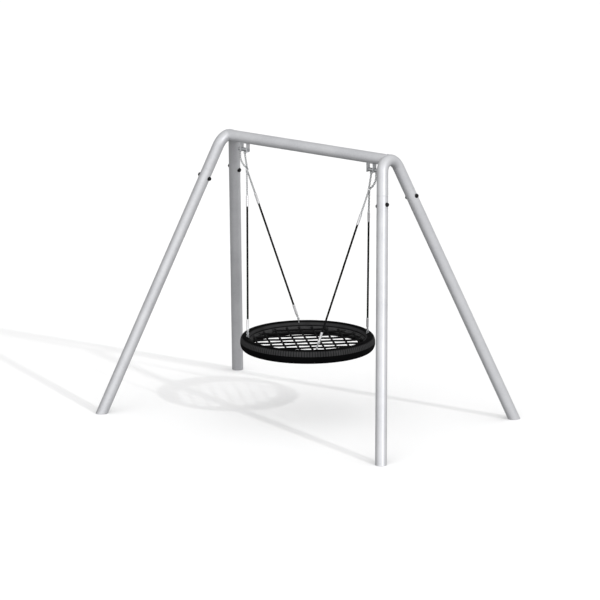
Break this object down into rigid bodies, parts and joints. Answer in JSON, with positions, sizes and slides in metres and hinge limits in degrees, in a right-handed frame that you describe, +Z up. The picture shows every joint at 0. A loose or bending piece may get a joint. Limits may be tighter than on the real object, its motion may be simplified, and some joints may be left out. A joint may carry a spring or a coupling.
{
  "type": "saucer nest swing",
  "caption": "Round nest seat with a rope net in a rubber-covered ring, hung on ropes and chains from swivelling hangers under a splayed tubular steel frame.",
  "frame": {"origin": "on the ground, under the middle of the top beam and of the seat", "axes": "+X along the top beam, +Y the way the seat swings, +Z up"},
  "size_m": [3.1792, 2.1318, 2.5],
  "materials": {
    "frame_paint": "light grey, satin metallic",
    "zinc": "bright zinc plate",
    "ferrule_aluminium": "pressed, satin",
    "black_plastic": "moulded, semi-matt",
    "bearing_plastic": "plain bearing plastic",
    "black_rope": "stranded steel-cored rope, matt",
    "black_rubber": "moulded, ribbed outside"
  },
  "bodies": {
    "frame": {"top_beam": "frame_paint", "head_left": "frame_paint", "leg_front_left": "frame_paint", "bolt_front_left": "zinc", "cap_outer_front_left": "black_plastic", "cap_inner_front_left": "black_plastic", "leg_back_left": "frame_paint", "bolt_back_left": "zinc", "cap_outer_back_left": "black_plastic", "cap_inner_back_left": "black_plastic", "bracket_left": "frame_paint", "pivot_pin_left": "zinc", "head_right": "frame_paint", "leg_front_right": "frame_paint", "bolt_front_right": "zinc", "cap_outer_front_right": "black_plastic", "cap_inner_front_right": "black_plastic", "leg_back_right": "frame_paint", "bolt_back_right": "zinc", "cap_outer_back_right": "black_plastic", "cap_inner_back_right": "black_plastic", "bracket_right": "frame_paint", "pivot_pin_right": "zinc"},
    "left_hanger": {"hanger_left": "zinc", "bearing_bush_left": "bearing_plastic", "top_chain_left": "zinc", "joint_ring_left": "zinc", "safety_eye_left": "zinc", "safety_chain_left": "zinc"},
    "right_hanger": {"hanger_right": "zinc", "bearing_bush_right": "bearing_plastic", "top_chain_right": "zinc", "joint_ring_right": "zinc", "safety_eye_right": "zinc", "safety_chain_right": "zinc"},
    "seat": {"upper_chain_front_left": "zinc", "upper_ferrule_front_left": "ferrule_aluminium", "rope_front_left": "black_rope", "lower_ferrule_front_left": "ferrule_aluminium", "lower_chain_front_left": "zinc", "upper_chain_back_left": "zinc", "upper_ferrule_back_left": "ferrule_aluminium", "rope_back_left": "black_rope", "lower_ferrule_back_left": "ferrule_aluminium", "lower_chain_back_left": "zinc", "upper_chain_front_right": "zinc", "upper_ferrule_front_right": "ferrule_aluminium", "rope_front_right": "black_rope", "lower_ferrule_front_right": "ferrule_aluminium", "lower_chain_front_right": "zinc", "upper_chain_back_right": "zinc", "upper_ferrule_back_right": "ferrule_aluminium", "rope_back_right": "black_rope", "lower_ferrule_back_right": "ferrule_aluminium", "lower_chain_back_right": "zinc", "seat_ring_core": "zinc", "upper_bumper": "black_rubber", "lower_bumper": "black_rubber", "seat_net": "black_rope", "net_border": "black_rope"}
  },
  "joints": [
    {"name": "left_hanger_swing", "type": "hinge", "parent": "frame", "child": "left_hanger", "pos_m": [-0.694, 0, 2.341], "axis": [1, 0, 0], "range_deg": [-60, 60]},
    {"name": "right_hanger_swing", "type": "hinge", "parent": "frame", "child": "right_hanger", "pos_m": [0.694, 0, 2.341], "axis": [1, 0, 0], "range_deg": [-60, 60]},
    {"name": "seat_tip", "type": "hinge", "parent": "left_hanger", "child": "seat", "pos_m": [0, 0, 2.158], "axis": [1, 0, 0], "range_deg": [-20, 20]}
  ],
  "couplings": [
    {"joint": "right_hanger_swing", "follows": "left_hanger_swing", "ratio": 1}
  ]
}
